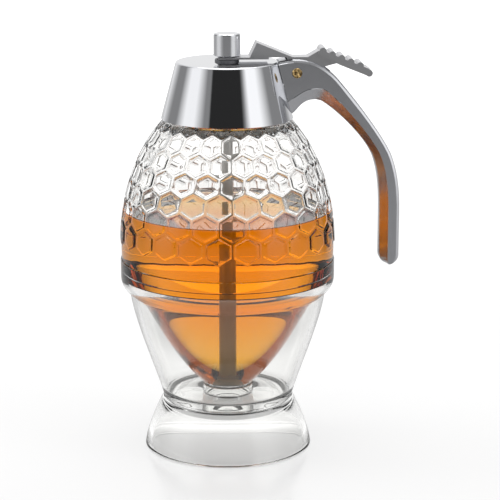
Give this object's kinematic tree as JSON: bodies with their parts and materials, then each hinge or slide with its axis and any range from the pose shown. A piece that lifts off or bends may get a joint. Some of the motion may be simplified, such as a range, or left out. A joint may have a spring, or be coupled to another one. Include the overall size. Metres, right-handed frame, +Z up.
{
  "type": "honey dispenser",
  "caption": "Clear honey dispenser with a honeycomb bell over a funnel and bowl on a loose stand, and a chromed lid with a handle and a trigger that lifts a stopper rod.",
  "frame": {"origin": "centre of the stand's flat bottom face, on the jar's axis", "axes": "+Z up along the jar's axis, +X towards the handle and its trigger, +Y to the handle's far side"},
  "size_m": [0.1298, 0.1, 0.1954],
  "materials": {
    "clear_acrylic": "clear, polished",
    "silicone": "translucent, satin",
    "honey": "clear amber liquid",
    "chrome_plate": "mirror",
    "chromed_casting": "polished",
    "satin_casting": "satin",
    "white_plastic": "moulded",
    "grey_plastic": "moulded",
    "brass": "satin",
    "stainless_steel": "drawn"
  },
  "bodies": {
    "stand": {"stand_ring": "clear_acrylic"},
    "jar": {"outer_bowl": "clear_acrylic", "inner_funnel": "clear_acrylic", "valve_seat": "silicone", "honeycomb_jar": "clear_acrylic", "honey": "honey"},
    "gasket": {"lid_gasket": "silicone"},
    "lid": {"lid_shell": "chrome_plate", "lid_liner": "white_plastic", "guide_bush": "grey_plastic", "handle": "chromed_casting", "handle_screws": "stainless_steel", "pivot_pin": "brass", "return_spring": "stainless_steel"},
    "trigger": {"lever": "satin_casting"},
    "plunger": {"plunger_rod": "stainless_steel", "knob": "chrome_plate", "stopper": "silicone", "stopper_collar": "stainless_steel", "retaining_clip": "stainless_steel", "spring_washer": "stainless_steel"}
  },
  "joints": [
    {"name": "jar_lift", "type": "slide", "parent": "stand", "child": "jar", "axis": [0, 0, 1], "range_m": [0, 0.06]},
    {"name": "lid_rise", "type": "slide", "parent": "jar", "child": "gasket", "axis": [0, 0, 1], "range_m": [0, 0.004]},
    {"name": "lid_turn", "type": "hinge", "parent": "gasket", "child": "lid", "pos_m": [0, 0, 0.17], "axis": [0, 0, 1], "range_deg": [0, 360]},
    {"name": "trigger_press", "type": "hinge", "parent": "lid", "child": "trigger", "pos_m": [0.0317, 0, 0.1776], "axis": [0, 1, 0], "range_deg": [0, 10], "stiffness_Nm_per_rad": 0.6, "springref_deg": -8.59},
    {"name": "plunger_lift", "type": "slide", "parent": "lid", "child": "plunger", "axis": [0, 0, 1], "range_m": [0, 0.006], "deforming": ["return_spring"]}
  ],
  "couplings": [
    {"joint": "lid_rise", "follows": "lid_turn", "m_per_rad": 0.000636},
    {"joint": "plunger_lift", "follows": "trigger_press", "m_per_rad": 0.03437}
  ]
}
